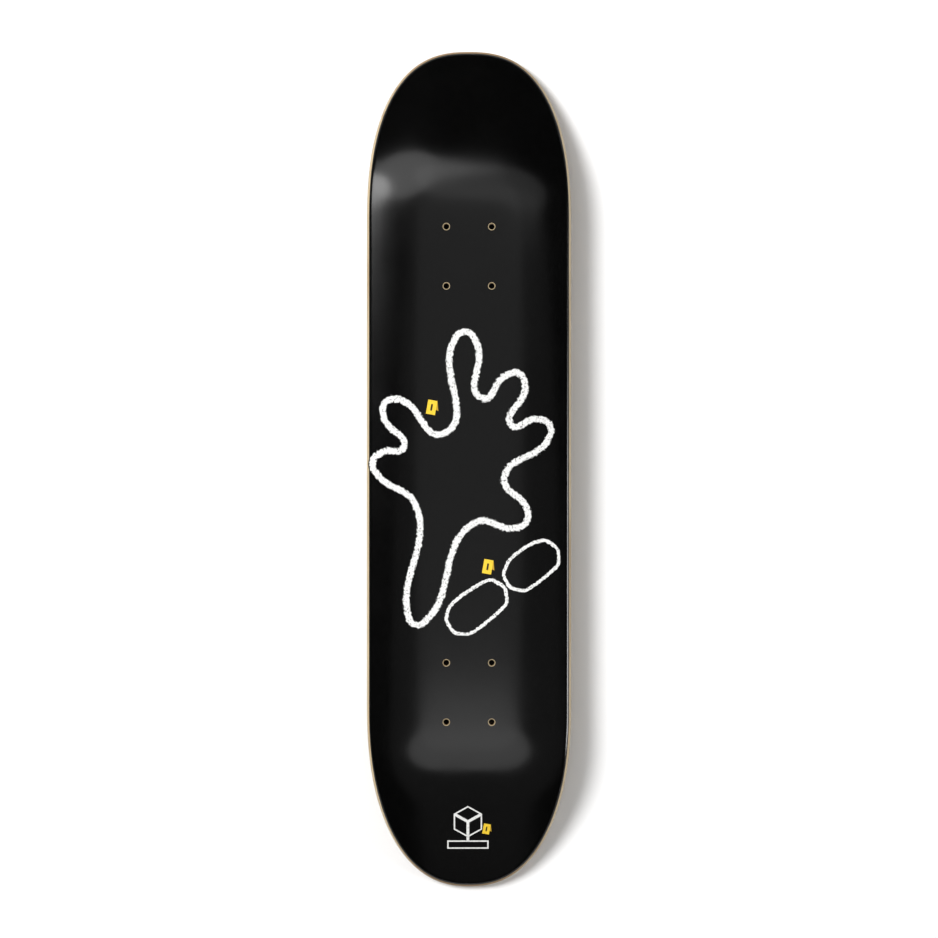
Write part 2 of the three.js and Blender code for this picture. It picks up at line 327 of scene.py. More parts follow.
@dataclass(frozen=True)
class MapleVeneer:
    """Rotary-cut hard maple veneer, sanded, under a thin clear coat.

    Maple is pale and close-grained. On a face it shows soft figure that runs with the fibres and fine short
    flecks. On a sawn edge the fibres that run along it stay pale, and those cut across take up the clear
    coat and look darker and duller, which is what tells the crossbands from the other plies.
    """

    name: str
    grain: Grain
    pale: str = "#bba885"
    warm: str = "#a58d69"
    end: str = "#836a48"
    end_open: str = "#8a6a43"
    figure: float = 26 * MM  # width of one band of figure
    figure_draw: float = 0.05
    rings: float = 9.0  # growth rings that one band's noise is folded into
    fleck: float = 0.9 * MM  # real flecks are 0.1 to 0.3 mm wide, drawn as wide as shows
    fleck_draw: float = 0.03
    pore: float = 0.7 * MM
    roughness: float = 0.46
    end_roughness: float = 0.68

    def material(self) -> bpy.types.Material:
        """Build the veneer's material.

        Returns:
            The material, on the veneer's own flat place.
        """
        tree = Tree(self.name)
        place = tree.add("Attribute", attribute_name=FLAT).outputs["Vector"]
        drawn = {"Vector": place, "Scale": self.grain.squeeze(self.figure_draw)}
        fibres = tree.add("Mapping", drawn).outputs["Vector"]
        coarse = {"Vector": fibres, "Scale": 1 / self.figure, "Detail": 3.0, "Distortion": 0.6}
        drift = tree.add("TexNoise", coarse)
        rings = tree.add("Math", {0: drift.outputs["Fac"], 1: self.rings}, operation="MULTIPLY")
        wave = tree.add("Math", {0: rings.outputs[0], 1: 1.0}, operation="PINGPONG")
        bands = [(0.0, self.warm), (0.35, self.pale), (1.0, self.pale)]
        figure = tree.add("ValToRGB", {"Fac": wave.outputs[0]}, bands)
        drawn = {"Vector": place, "Scale": self.grain.squeeze(self.fleck_draw)}
        fibres = tree.add("Mapping", drawn).outputs["Vector"]
        flecks = tree.add("TexNoise", {"Vector": fibres, "Scale": 1 / self.fleck, "Detail": 2.0})
        tone = tree.add("MapRange", {0: flecks.outputs["Fac"], 1: 0.35, 2: 0.65, 3: 0.86, 4: 1.04})
        face = tree.add(
            "Mix",
            {"Factor": 1.0, "A": figure.outputs["Color"], "B": tone.outputs["Result"]},
            data_type="RGBA",
            blend_type="MULTIPLY",
        )
        across = self._cut_across(tree)
        pores = tree.add("TexNoise", {"Vector": place, "Scale": 1 / self.pore, "Detail": 1.0})
        tones = [(0.3, self.end_open), (0.55, self.end), (0.75, self.warm)]
        ends = tree.add("ValToRGB", {"Fac": pores.outputs["Fac"]}, tones)
        colour = tree.add(
            "Mix",
            {"Factor": across, "A": face.outputs["Result"], "B": ends.outputs["Color"]},
            data_type="RGBA",
        )
        duller = {0: across, 1: 0.0, 2: 1.0, 3: self.roughness, 4: self.end_roughness}
        roughness = tree.add("MapRange", duller)
        bump = tree.add("Bump", {"Height": flecks.outputs["Fac"], "Strength": 0.18, "Distance": 0.08 * MM})
        return tree.finish(
            {
                "Base Color": colour.outputs["Result"],
                "Roughness": roughness.outputs["Result"],
                "IOR": 1.5,
                "Normal": bump.outputs["Normal"],
            }
        )

    def _cut_across(self, tree: Tree) -> bpy.types.NodeSocket:
        """Work out how squarely a face cuts the fibres.

        Args:
            tree: the material being built.

        Returns:
            0 where the fibres lie in the surface, 1 where it is end grain.
        """
        normal = tree.add("SeparateXYZ", {"Vector": tree.add("NewGeometry").outputs["Normal"]})
        along = normal.outputs["Y" if self.grain is Grain.LONG else "X"]
        size = tree.add("Math", {0: along}, operation="ABSOLUTE")
        return tree.add("MapRange", {0: size.outputs[0], 1: 0.42, 2: 0.8, 3: 0.0, 4: 1.0}).outputs["Result"]


@dataclass(frozen=True)
class GlueLine:
    """Cured wood glue between two veneers: a thin brown line, harder and glossier than the wood."""

    name: str = "glue_line_resin"
    colour: str = "#8a6d45"
    light: str = "#a1855a"
    patch: float = 6 * MM
    roughness: float = 0.42

    def material(self) -> bpy.types.Material:
        """Build the glue's material.

        Returns:
            The material.
        """
        tree = Tree(self.name)
        place = tree.add("Attribute", attribute_name=FLAT).outputs["Vector"]
        patches = tree.add("TexNoise", {"Vector": place, "Scale": 1 / self.patch, "Detail": 2.0})
        tones = [(0.35, self.colour), (0.7, self.light)]
        colour = tree.add("ValToRGB", {"Fac": patches.outputs["Fac"]}, tones).outputs["Color"]
        return tree.finish({"Base Color": colour, "Roughness": self.roughness, "IOR": 1.48})


@dataclass(frozen=True)
class FilmSurface:
    """Numbers that the film and every print on it share, so that they shine as one surface."""

    black: str = "#030303"
    worn: str = "#060606"
    smooth: float = 0.15
    dull: float = 0.18
    patch: float = 38 * MM  # the size of the duller patches
    texture: float = 1.1 * MM  # the film follows the veneer's pores a little
    texture_draw: float = 0.12

    def base(self, tree: Tree) -> dict[str, bpy.types.NodeSocket]:
        """Lay the film's colour, roughness and relief.

        Args:
            tree: the material being built.

        Returns:
            Sockets named place, colour, roughness and height.
        """
        place = tree.add("Attribute", attribute_name=FLAT).outputs["Vector"]
        patches = tree.add("TexNoise", {"Vector": place, "Scale": 1 / self.patch, "Detail": 4.0})
        drawn = {"Vector": place, "Scale": Grain.LONG.squeeze(self.texture_draw)}
        fibres = tree.add("Mapping", drawn).outputs["Vector"]
        pores = tree.add("TexNoise", {"Vector": fibres, "Scale": 1 / self.texture, "Detail": 2.0})
        tones = [(0.35, self.black), (0.75, self.worn)]
        colour = tree.add("ValToRGB", {"Fac": pores.outputs["Fac"]}, tones)
        duller = {0: patches.outputs["Fac"], 1: 0.35, 2: 0.65, 3: self.smooth, 4: self.dull}
        roughness = tree.add("MapRange", duller)
        return {
            "place": place,
            "colour": colour.outputs["Color"],
            "roughness": roughness.outputs["Result"],
            "height": pores.outputs["Fac"],
        }


FILM = FilmSurface()


@dataclass(frozen=True)
class TransferFilm:
    """Black heat-transfer film under a clear satin lacquer.

    The film is pressed hot onto the veneer. It is near black, takes broad soft reflections, and lets the
    wood's pores show faintly as a fine relief along the grain.
    """

    name: str = "transfer_film_black"

    def material(self) -> bpy.types.Material:
        """Build the film's material.

        Returns:
            The material.
        """
        tree = Tree(self.name)
        film = FILM.base(tree)
        bump = tree.add("Bump", {"Height": film["height"], "Strength": 0.25, "Distance": 0.03 * MM})
        return tree.finish(
            {
                "Base Color": film["colour"],
                "Roughness": film["roughness"],
                "IOR": 1.5,
                "Normal": bump.outputs["Normal"],
            }
        )


@dataclass(frozen=True)
class ChalkInk:
    """White ink printed to look like chalk dragged over a rough floor.

    The stroke's two edges break up, and small dark flecks show the film through it. The flecks and the
    broken edge are the film's own colour and sheen, so the band reads as ink only where there is ink.
    """

    name: str
    white: str = "#ececea"
    grey: str = "#d4d4d1"
    edge: float = 0.5  # how much of the band's half width the broken edge may take
    edge_grain: float = 2.2 * MM
    fleck: float = 1.3 * MM
    fleck_cover: float = 0.39  # higher gives more flecks
    dust: float = 0.8 * MM

    def material(self) -> bpy.types.Material:
        """Build the ink's material, which reads the band's own map: V runs across the stroke.

        Returns:
            The material.
        """
        tree = Tree(self.name)
        film = FILM.base(tree)
        place = film["place"]
        ink = self._ink(tree, place)
        dust = tree.add("TexNoise", {"Vector": place, "Scale": 1 / self.dust, "Detail": 2.0})
        tones = [(0.3, self.grey), (0.5, self.white)]
        chalk = tree.add("ValToRGB", {"Fac": dust.outputs["Fac"]}, tones).outputs["Color"]
        colour = tree.add("Mix", {"Factor": ink, "A": film["colour"], "B": chalk}, data_type="RGBA")
        roughness = tree.add("Mix", {"Factor": ink, "A": film["roughness"], "B": 0.5}, data_type="FLOAT")
        bump = tree.add("Bump", {"Height": ink, "Strength": 0.3, "Distance": 0.05 * MM})
        return tree.finish(
            {
                "Base Color": colour.outputs["Result"],
                "Roughness": roughness.outputs["Result"],
                "IOR": 1.5,
                "Normal": bump.outputs["Normal"],
            }
        )

    def _ink(self, tree: Tree, place: bpy.types.NodeSocket) -> bpy.types.NodeSocket:
        """Work out where the band carries ink.

        Args:
            tree: the material being built.
            place: the flat place.

        Returns:
            1 on ink, and 0 past the broken edge and in the flecks.
        """
        across = tree.add("SeparateXYZ", {"Vector": tree.add("TexCoord").outputs["UV"]})
        side = tree.add("Math", {0: across.outputs["Y"], 1: 0.5}, operation="SUBTRACT")
        from_middle = tree.add("Math", {0: side.outputs[0]}, operation="ABSOLUTE")
        torn = {"Vector": place, "Scale": 1 / self.edge_grain, "Detail": 5.0, "Roughness": 0.75}
        ragged = tree.add("TexNoise", torn).outputs["Fac"]
        reach = tree.add("MapRange", {0: ragged, 1: 0.36, 2: 0.64, 3: 0.5 - 0.5 * self.edge, 4: 0.5})
        inside = tree.add("Math", {0: reach.outputs[0], 1: from_middle.outputs[0]}, operation="SUBTRACT")
        body = tree.add("MapRange", {0: inside.outputs[0], 1: 0.0, 2: 0.03, 3: 0.0, 4: 1.0})
        specks = {"Vector": place, "Scale": 1 / self.fleck, "Detail": 3.0, "Roughness": 0.65}
        flecks = tree.add("TexNoise", specks).outputs["Fac"]
        low, high = self.fleck_cover - 0.02, self.fleck_cover + 0.03
        covered = tree.add("MapRange", {0: flecks, 1: low, 2: high, 3: 0.0, 4: 1.0})
        return tree.add("Math", {0: body.outputs[0], 1: covered.outputs[0]}, operation="MULTIPLY").outputs[0]


@dataclass(frozen=True)
class PrintedInk:
    """A solid screen-printed ink, a little uneven where the squeegee has left it thin."""

    name: str
    full: str
    thin: str
    lay: float = 1.2 * MM
    roughness: float = 0.34
    thin_roughness: float = 0.42

    def material(self) -> bpy.types.Material:
        """Build the ink's material.

        Returns:
            The material.
        """
        tree = Tree(self.name)
        place = tree.add("Attribute", attribute_name=FLAT).outputs["Vector"]
        lay = tree.add("TexNoise", {"Vector": place, "Scale": 1 / self.lay, "Detail": 3.0}).outputs["Fac"]
        colour = tree.add("ValToRGB", {"Fac": lay}, [(0.28, self.thin), (0.5, self.full)])
        roughness = tree.add("MapRange", {0: lay, 1: 0.3, 2: 0.7, 3: self.thin_roughness, 4: self.roughness})
        bump = tree.add("Bump", {"Height": lay, "Strength": 0.15, "Distance": 0.03 * MM})
        return tree.finish(
            {
                "Base Color": colour.outputs["Color"],
                "Roughness": roughness.outputs["Result"],
                "IOR": 1.5,
                "Normal": bump.outputs["Normal"],
            }
        )


@dataclass(frozen=True)
class TagInk:
    """Yellow screen-printed ink of one small tag, with its flap in a darker shade and one plain dark bar."""

    name: str
    middle: Vector
    tilt: float
    size: float
    full: str = "#f0cb3a"
    thin: str = "#d8b230"
    shade: str = "#b8942a"
    dark: str = "#1c1a14"
    bar: tuple[float, float] = (0.85 * MM, 3.0 * MM)  # half sizes
    fold: float = 4.2 * MM
    soft: float = 0.1 * MM  # half the width over which one colour turns to the next
    lay: float = 1.2 * MM
    roughness: float = 0.36

    def material(self) -> bpy.types.Material:
        """Build the ink's material on flat places turned to the tag's own axes.

        Returns:
            The material.
        """
        tree = Tree(self.name)
        place = tree.add("Attribute", attribute_name=FLAT).outputs["Vector"]
        turn = (0, 0, math.radians(self.tilt))
        own = tree.add(
            "Mapping",
            {"Vector": place, "Location": self.middle, "Rotation": turn, "Scale": (self.size, self.size, 1)},
            vector_type="TEXTURE",
        )
        parts = tree.add("SeparateXYZ", {"Vector": own.outputs["Vector"]})
        lay = tree.add("TexNoise", {"Vector": place, "Scale": 1 / self.lay, "Detail": 3.0}).outputs["Fac"]
        yellow = tree.add("ValToRGB", {"Fac": lay}, [(0.28, self.thin), (0.5, self.full)])
        low, high = self.fold - self.soft, self.fold + self.soft
        flap = tree.add("MapRange", {0: parts.outputs["X"], 1: low, 2: high, 3: 0.0, 4: 1.0})
        folded = tree.add(
            "Mix",
            {"Factor": flap.outputs["Result"], "A": yellow.outputs["Color"], "B": linear(self.shade)},
            data_type="RGBA",
        )
        masks = []
        for axis, half in zip("XY", self.bar):
            size = tree.add("Math", {0: parts.outputs[axis]}, operation="ABSOLUTE").outputs[0]
            mask = tree.add("MapRange", {0: size, 1: half - self.soft, 2: half + self.soft, 3: 1.0, 4: 0.0})
            masks.append(mask.outputs["Result"])
        bar = tree.add("Math", {0: masks[0], 1: masks[1]}, operation="MULTIPLY").outputs[0]
        colour = tree.add(
            "Mix",
            {"Factor": bar, "A": folded.outputs["Result"], "B": linear(self.dark)},
            data_type="RGBA",
        )
        bump = tree.add("Bump", {"Height": lay, "Strength": 0.15, "Distance": 0.03 * MM})
        return tree.finish(
            {
                "Base Color": colour.outputs["Result"],
                "Roughness": self.roughness,
                "IOR": 1.5,
                "Normal": bump.outputs["Normal"],
            }
        )


@dataclass(frozen=True)
class StudioPaint:
    """Matt wall paint, rolled on the studio's floor and wall, so that its tone drifts very slightly."""

    name: str
    white: str = "#f6f6f6"
    shade: str = "#f3f3f3"
    drift: float = 1 / 3  # metres
    glow: float = 0.0

    def material(self) -> bpy.types.Material:
        """Build the paint's material.

        Returns:
            The material.
        """
        tree = Tree(self.name)
        place = tree.add("TexCoord").outputs["Object"]
        drift = tree.add("TexNoise", {"Vector": place, "Scale": 1 / self.drift, "Detail": 2.0})
        colour = tree.add("ValToRGB", {"Fac": drift.outputs["Fac"]}, [(0.3, self.shade), (0.7, self.white)])
        return tree.finish(
            {
                "Base Color": colour.outputs["Color"],
                "Roughness": 0.9,
                "Specular IOR Level": 0.1,
                "Emission Color": linear("#ffffff"),
                "Emission Strength": self.glow,
            }
        )


# ---- The deck's form -----------------------------------------------------------------------------------


@dataclass(frozen=True)
class End:
    """One end of the deck, measured from the middle of the truck holes."""

    side: int
    reach: float
    taper_start: float
    power: float
    bend_start: float
    tip_rise: float = 46 * MM
    bend_radius: float = 150 * MM

    @property
    def taper(self) -> float:
        """Length of the part that narrows."""
        return self.reach - self.taper_start

    def angle(self) -> float:
        """Angle of the kick, which follows from its length and how far the tip is carried.

        Returns:
            The angle in radians.
        """
        length = self.reach - self.bend_start
        spare = 2 * self.bend_radius - self.tip_rise
        return 2 * math.atan((length - math.sqrt(length**2 - self.tip_rise * spare)) / spare)

    def kick(self, y: float) -> tuple[float, float]:
        """Drop and slope of the kick over one place.

        Args:
            y: the place along the deck.

        Returns:
            The drop in metres, and the slope.
        """
        beyond = abs(y) - self.bend_start
        angle = self.angle()
        run = self.bend_radius * math.sin(angle)
        if beyond <= 0:
            return 0.0, 0.0
        if beyond < run:
            rest = math.sqrt(self.bend_radius**2 - beyond**2)
            return self.bend_radius - rest, beyond / rest
        slope = math.tan(angle)
        return self.bend_radius * (1 - math.cos(angle)) + (beyond - run) * slope, slope


NOSE = End(side=1, reach=390.5 * MM, taper_start=226.5 * MM, power=2.5, bend_start=246 * MM)
TAIL = End(side=-1, reach=381 * MM, taper_start=210.5 * MM, power=2.3, bend_start=236 * MM)


@dataclass(frozen=True)
class Form:
    """The deck's plan and pressed form. Its middle is the middle of the truck holes, at the riding face."""

    middle: Vector
    half_width: float = 93.25 * MM
    level_half: float = 32 * MM
    concave: float = 10 * MM
    ply: float = 1.5 * MM
    glue: float = 0.1 * MM
    plies: int = 7
    edge_radius: float = 4.5 * MM
    film_inset: float = 2.05 * MM

    @property
    def thickness(self) -> float:
        """Thickness of the whole laminate."""
        return self.plies * self.ply + (self.plies - 1) * self.glue

    def rail(self, x: float) -> tuple[float, float]:
        """Drop and slope of the concave at one place across the deck.

        Args:
            x: the place across the deck.

        Returns:
            The drop in metres, and the slope.
        """
        span = self.half_width - self.level_half
        share = max(0.0, abs(x) - self.level_half) / span
        return self.concave * share**2, 2 * self.concave * share / span

    def edge_depth(self, inset: float) -> float:
        """Depth below a face at which the rounded edge has drawn in by inset."""
        return self.edge_radius - math.sqrt(self.edge_radius**2 - (self.edge_radius - inset) ** 2)


@dataclass
class Press:
    """The hydraulic press: a lattice whose rows and columns are pushed down to the deck's form."""

    form: Form
    columns: int = 23
    rows: int = 64
    half_across: float = 110 * MM
    half_along: float = 409.5 * MM
    near: float = 0.01 * MM  # how closely a point's place is matched
    lattice: bpy.types.Object = field(init=False)

    def __post_init__(self) -> None:
        """Add the lattice round the flat laminate and push it to shape."""
        deselect()
        bpy.ops.object.add(type="LATTICE", location=(0, 0, self.form.thickness / 2))
        self.lattice = bpy.context.object
        self.lattice.name = "press"
        self.lattice.scale = (2 * self.half_across, 2 * self.half_along, self.form.thickness)
        data = self.lattice.data
        data.points_u, data.points_v, data.points_w = self.columns, self.rows, 2
        data.interpolation_type_u = data.interpolation_type_v = "KEY_BSPLINE"
        data.interpolation_type_w = "KEY_LINEAR"
        bpy.context.view_layer.update()
        for row in range(self.rows):
            y = self.half_along * (2 * row / (self.rows - 1) - 1)
            self._push(1, y, *(NOSE if y >= 0 else TAIL).kick(y))
        for column in range(self.columns):
            x = self.half_across * (2 * column / (self.columns - 1) - 1)
            self._push(0, x, *self.form.rail(x))

    def _push(self, axis: int, place: float, drop: float, slope: float) -> None:
        """Push one row or column of the lattice down, its upper points a little less.

        A sloping layer stands taller over each place than a level one, so the upper points keep the
        laminate's thickness square to its own faces.

        Args:
            axis: 0 for a column at that x, 1 for a row at that y.
            place: the row's or column's place.
            drop: how far it goes down.
            slope: the form's slope there.
        """
        if drop == 0:
            return
        spare = self.form.thickness * (math.hypot(1, slope) - 1)
        size = (self.half_across, self.half_along)[axis]
        points = self.lattice.data.points
        for upper in (False, True):
            for index, point in enumerate(points):
                here = abs(point.co[axis] * 2 * size - place) < self.near
                point.select = here and (2 * index >= len(points)) is upper
            bpy.ops.object.mode_set(mode="EDIT")
            bpy.ops.transform.translate(value=(0, 0, spare - drop if upper else -drop))
            bpy.ops.object.mode_set(mode="OBJECT")

    def shape(self, piece: bpy.types.Object) -> bpy.types.Object:
        """Press one flat piece to the deck's form and carry it to its place in the frame.

        Args:
            piece: the flat piece, in the flat laminate's own place.

        Returns:
            The same piece, at the origin, with its place in its mesh.
        """
        keep_flat_place(piece)
        apply(piece, "LATTICE", object=self.lattice)
        piece.location = self.form.middle
        only(piece)
        bpy.ops.object.transform_apply(location=True, rotation=True, scale=True)
        return piece

    def clear(self) -> None:
        """Take the press away."""
        data = self.lattice.data
        bpy.data.objects.remove(self.lattice)
        bpy.data.lattices.remove(data)


@dataclass
class Blank:
    """The flat laminate: sawn to the outline, its two edges rounded over."""

    form: Form
    ring: int = 192
    edge_steps: int = 8
    near: float = 0.02 * MM  # how closely a point's place is matched
    solid: bpy.types.Object = field(init=False)

    def __post_init__(self) -> None:
        """Saw the outline, give it the laminate's thickness and round its edges."""
        deselect()
        bpy.ops.mesh.primitive_circle_add(vertices=self.ring, radius=self.form.half_width, fill_type="NGON")
        self.solid = bpy.context.object
        self.solid.name = "blank"
        bpy.ops.object.mode_set(mode="EDIT")
        for end in (NOSE, TAIL):
            for step in range(1, self.ring // 4 + 1):
                self._row(end, math.tau * step / self.ring)
        bpy.ops.mesh.select_all(action="SELECT")
        bpy.ops.mesh.extrude_region_move(TRANSFORM_OT_translate={"value": (0, 0, self.form.thickness)})
        bpy.ops.mesh.select_all(action="SELECT")
        bpy.ops.mesh.normals_make_consistent(inside=False)
        select(self.solid, Part.EDGES, lambda e: abs(e.verts[0].co.z - e.verts[1].co.z) < TINY)
        bpy.ops.mesh.bevel(
            offset=self.form.edge_radius,
            segments=self.edge_steps,
            profile=0.5,
            affect="EDGES",
            clamp_overlap=False,
        )
        bpy.ops.object.mode_set(mode="OBJECT")

    def _row(self, end: End, turn: float) -> None:
        """Move the ring's two points at one turn out to the end's outline.

        Args:
            end: the end that they belong to.
            turn: their angle on the circle, from the rail.
        """
        radius = self.form.half_width
        high = radius * math.sin(turn)
        across = math.cos(turn) ** (2 / end.power) / max(math.cos(turn), 1e-9)
        along = end.taper_start + end.taper * math.sin(turn) ** (2 / end.power)

        def in_row(point: bmesh.types.BMVert) -> bool:
            """Say whether a point is one of the two."""
            wide = abs(abs(point.co.x) - radius * math.cos(turn)) < self.near
            return wide and abs(end.side * point.co.y - high) < self.near

        select(self.solid, Part.POINTS, in_row)
        if math.cos(turn) > 1e-6:
            bpy.ops.transform.resize(value=(across, 1, 1), center_override=(0, 0, 0))
        bpy.ops.transform.translate(value=(0, end.side * (along - high), 0))


@dataclass
class Drill:
    """The drills for the eight truck holes, in one object."""

    radius: float
    sink: float = 0.0  # how much wider the hole's mouth is, on the underside
    wheelbase: float = 342.9 * MM
    row_gap: float = 53.975 * MM
    column_gap: float = 41.275 * MM
    sides: int = 40
    reach: float = 30 * MM
    tool: bpy.types.Object = field(init=False)

    def build(self, top: float) -> Drill:
        """Make one drill and its seven copies.

        Args:
            top: height of the face that the hole's mouth is sunk into.

        Returns:
            This drill.
        """
        deselect()
        bpy.ops.mesh.primitive_cylinder_add(vertices=self.sides, radius=self.radius, depth=2 * self.reach)
        self.tool = bpy.context.object
        self.tool.name = "drill"
        if self.sink:
            bpy.ops.object.mode_set(mode="EDIT")
            select(self.tool, Part.POINTS, lambda v: v.co.z > 0)
            bpy.ops.transform.translate(value=(0, 0, top - self.sink - self.reach))
            for rise in (1, 2):
                select(self.tool, Part.FACES, lambda f: f.normal.z > 0.9)
                bpy.ops.mesh.extrude_region_move(TRANSFORM_OT_translate={"value": (0, 0, self.sink)})
                wider = (self.radius + rise * self.sink) / (self.radius + (rise - 1) * self.sink)
                bpy.ops.transform.resize(value=(wider, wider, 1))
            bpy.ops.object.mode_set(mode="OBJECT")
        self._spread()
        return self

    def places(self) -> list[Vector]:
        """List the holes' middles, measured from the middle of them all.

        Returns:
            The eight places.
        """
        return [
            Vector((side * self.column_gap / 2, end * (self.wheelbase / 2 + row * self.row_gap), 0))
            for side in (1, -1)
            for end in (1, -1)
            for row in (0, 1)
        ]

    def _spread(self) -> None:
        """Copy the one drill to the eight places and join the copies."""
        edit(self.tool)
        places = self.places()
        bpy.ops.mesh.select_all(action="SELECT")
        bpy.ops.transform.translate(value=places[0])
        for before, after in zip(places, places[1:]):
            bpy.ops.mesh.duplicate_move(TRANSFORM_OT_translate={"value": after - before})
        bpy.ops.mesh.select_all(action="SELECT")
        bpy.ops.mesh.normals_make_consistent(inside=False)
        bpy.ops.object.mode_set(mode="OBJECT")

    def through(self, piece: bpy.types.Object) -> None:
        """Drill one piece."""
        apply(piece, "BOOLEAN", object=self.tool, operation="DIFFERENCE", solver="EXACT")


@dataclass
class Layer:
    """One layer of the laminate, sliced from the blank."""

    node: str
    slot: str
    low: float
    high: float
    material: bpy.types.Material
    cell: float = 12 * MM
    piece: bpy.types.Object = field(init=False)

    def build(self, blank: Blank, drill: Drill, press: Press) -> Layer:
        """Slice the layer, score it so that it can take the form, drill it and press it.

        Args:
            blank: the flat laminate.
            drill: the truck holes' drills.
            press: the press.

        Returns:
            This layer.
        """
        self.piece = copy_of(blank.solid, "look_" + self.node)
        edit(self.piece)
        form = blank.form
        if self.low > 0:
            cut(self.piece, Vector((0, 0, self.low)), Vector((0, 0, 1)), use_fill=True, clear_inner=True)
        if self.high < form.thickness:
            cut(self.piece, Vector((0, 0, self.high)), Vector((0, 0, 1)), use_fill=True, clear_outer=True)
        score(self.piece, form, self.cell)
        bpy.ops.object.mode_set(mode="OBJECT")
        drill.through(self.piece)
        press.shape(self.piece)
        outward(self.piece)
        return self

    def dress(self) -> None:
        """Give the layer its finish and its place in the deck."""
        put_on(self.piece, self.material)
        take_place(self.piece, self.slot, self.node)


def score(piece: bpy.types.Object, form: Form, cell: float) -> None:
    """Cut a flat object in edit mode into cells, so that the press can bend it.

    Args:
        piece: the object in edit mode.
        form: the deck's form, for how far the cells go.
        cell: the cells' size.
    """
    for step in range(-int(form.half_width / cell), int(form.half_width / cell) + 1):
        cut(piece, Vector((step * cell, 0, 0)), Vector((1, 0, 0)))
    for step in range(-int(TAIL.reach / cell), int(NOSE.reach / cell) + 1):
        cut(piece, Vector((0, (step + 0.37) * cell, 0)), Vector((0, 1, 0)))


def take_place(piece: bpy.types.Object, slot: str, *nodes: str) -> None:
    """Hang a finished piece on the deck's body and hide the CAD nodes that it replaces.

    Args:
        piece: the finished piece.
        slot: the record's material slot; not used.
        nodes: the CAD nodes that it replaces.
    """
    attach(piece, "root")
    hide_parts(*nodes)
    LOG.info("%s: %d faces", piece.name, len(piece.data.polygons))


@dataclass
class Film:
    """The black transfer film on the underside, wrapped over the top of the rounded edge."""

    material: bpy.types.Material
    node: str = "graphic_film"
    lift: float = 0.05 * MM
    thickness: float = 0.1 * MM
    border: float = 1.2 * MM  # a narrow ring of faces that keeps the flat part's shading flat
    big: float = 0.01  # square metres: only the flat part is bigger
    cell: float = 6 * MM
    piece: bpy.types.Object = field(init=False)

    def build(self, blank: Blank, drill: Drill, press: Press) -> Film:
        """Lift the blank's upper skin off it, thicken it, drill it and press it.

        Args:
            blank: the flat laminate.
            drill: the drills that lift the film off round each hole.
            press: the press.

        Returns:
            This film.
        """
        form = blank.form
        self.piece = copy_of(blank.solid, "look_" + self.node)
        edit(self.piece)
        hem = form.thickness - form.edge_depth(form.film_inset)
        cut(self.piece, Vector((0, 0, hem)), Vector((0, 0, 1)), clear_inner=True)
        select(self.piece, Part.FACES, lambda f: f.calc_area() > self.big)
        bpy.ops.mesh.inset(thickness=self.border, depth=0)
        score(self.piece, form, self.cell)
        bpy.ops.mesh.select_all(action="SELECT")
        bpy.ops.mesh.normals_make_consistent(inside=False)
        bpy.ops.transform.translate(value=(0, 0, self.lift))
        bpy.ops.object.mode_set(mode="OBJECT")
        apply(self.piece, "SOLIDIFY", thickness=self.thickness, offset=1.0, use_rim=True)
        drill.through(self.piece)
        press.shape(self.piece)
        outward(self.piece)
        return self

    def dress(self) -> None:
        """Give the film its finish and its place in the deck."""
        put_on(self.piece, self.material)
        take_place(self.piece, "transfer_film", self.node)


# ---- Prints --------------------------------------------------------------------------------------------


@dataclass
class Print(ABC):
    """A printed ink layer on the film. Each kind of print draws its own flat shape."""

    node: str
    material: bpy.types.Material
    slot: str = "white_ink"
    lift: float = 0.16 * MM  # over the laminate, clear of the film
    ink: float = 0.05 * MM
    piece: bpy.types.Object = field(init=False)

    @abstractmethod
    def draw(self) -> bpy.types.Object:
        """Draw the flat shape, each kind of print in its own way."""

    def build(self, form: Form, press: Press) -> Print:
        """Draw the print, lay it on the film, give it the ink's thickness and press it.

        Args:
            form: the deck's form.
            press: the press.

        Returns:
            This print.
        """
        self.piece = self.draw()
        self.piece.name = "look_" + self.node
        self.piece.data.name = self.piece.name
        edit(self.piece)
        bpy.ops.mesh.select_all(action="SELECT")
        bpy.ops.mesh.normals_make_consistent(inside=False)
        shape = bmesh.from_edit_mesh(self.piece.data)
        if sum(face.normal.z for face in shape.faces) < 0:
            bpy.ops.mesh.flip_normals()
        bpy.ops.transform.translate(value=(0, 0, form.thickness + self.lift))
        bpy.ops.object.mode_set(mode="OBJECT")
        apply(self.piece, "SOLIDIFY", thickness=self.ink, offset=1.0, use_rim=True)
        press.shape(self.piece)
        outward(self.piece)
        return self

    def dress(self) -> None:
        """Give the print its ink and its place on the deck."""
        put_on(self.piece, self.material)
        take_place(self.piece, self.slot, self.node)


